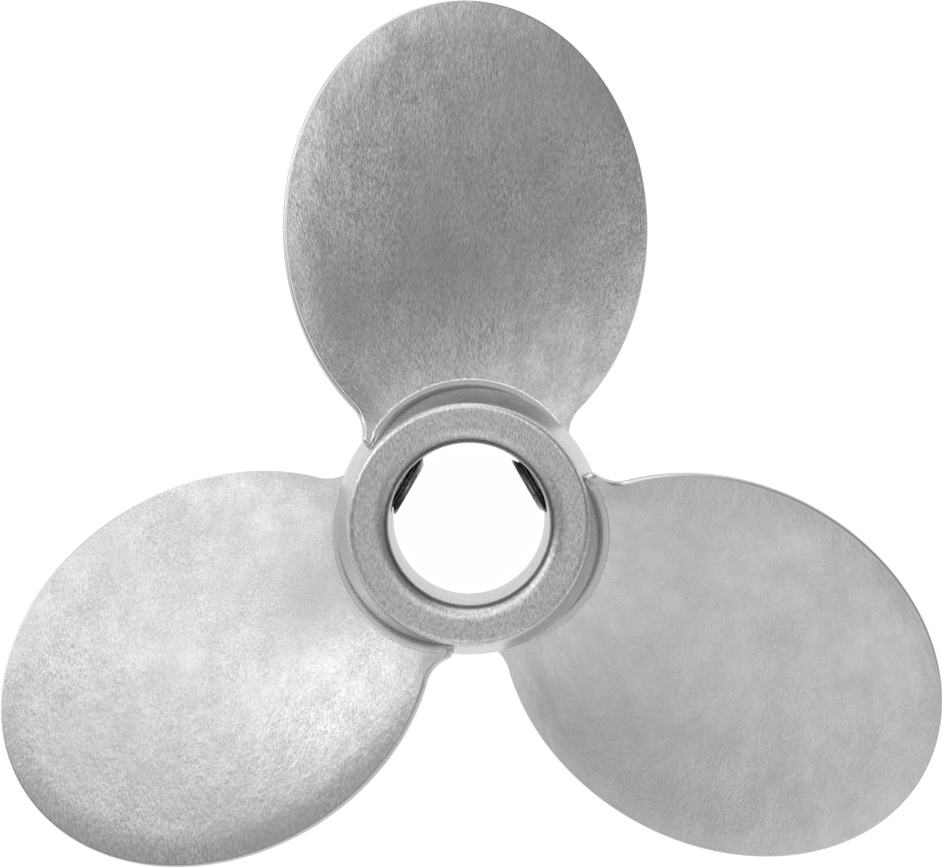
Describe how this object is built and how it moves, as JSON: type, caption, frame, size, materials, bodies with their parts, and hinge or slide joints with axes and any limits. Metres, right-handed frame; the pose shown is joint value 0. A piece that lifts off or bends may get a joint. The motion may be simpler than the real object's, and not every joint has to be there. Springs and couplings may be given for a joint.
{
  "type": "marine propeller",
  "caption": "Right-hand oval-blade propeller on a barrel hub with a plain shaft bore, held by socket set screws in the gaps between the blades.",
  "frame": {"origin": "centre of the shaft bore at the hub's mid-plane", "axes": "+Z along the shaft axis towards the side that the picture shows; +Y along blade 1"},
  "size_m": [0.1148, 0.1051, 0.041],
  "materials": {
    "hub_steel": "satin turned stainless steel, fine grain on the end faces",
    "blade_steel": "blasted and lightly brushed stainless plate with cloudy mottling",
    "screw_black": "black oxide alloy steel"
  },
  "bodies": {
    "propeller": {"hub": "hub_steel", "blade_1": "blade_steel", "blade_2": "blade_steel", "blade_3": "blade_steel"},
    "screw_1": {"set_screw_1": "screw_black"},
    "screw_2": {"set_screw_2": "screw_black"}
  },
  "joints": [
    {"name": "screw_1_travel", "type": "slide", "parent": "propeller", "child": "screw_1", "axis": [-0.866, -0.5, 0], "range_m": [-0.009, 0.004]},
    {"name": "screw_2_travel", "type": "slide", "parent": "propeller", "child": "screw_2", "axis": [0.866, -0.5, 0], "range_m": [-0.009, 0.004]}
  ]
}
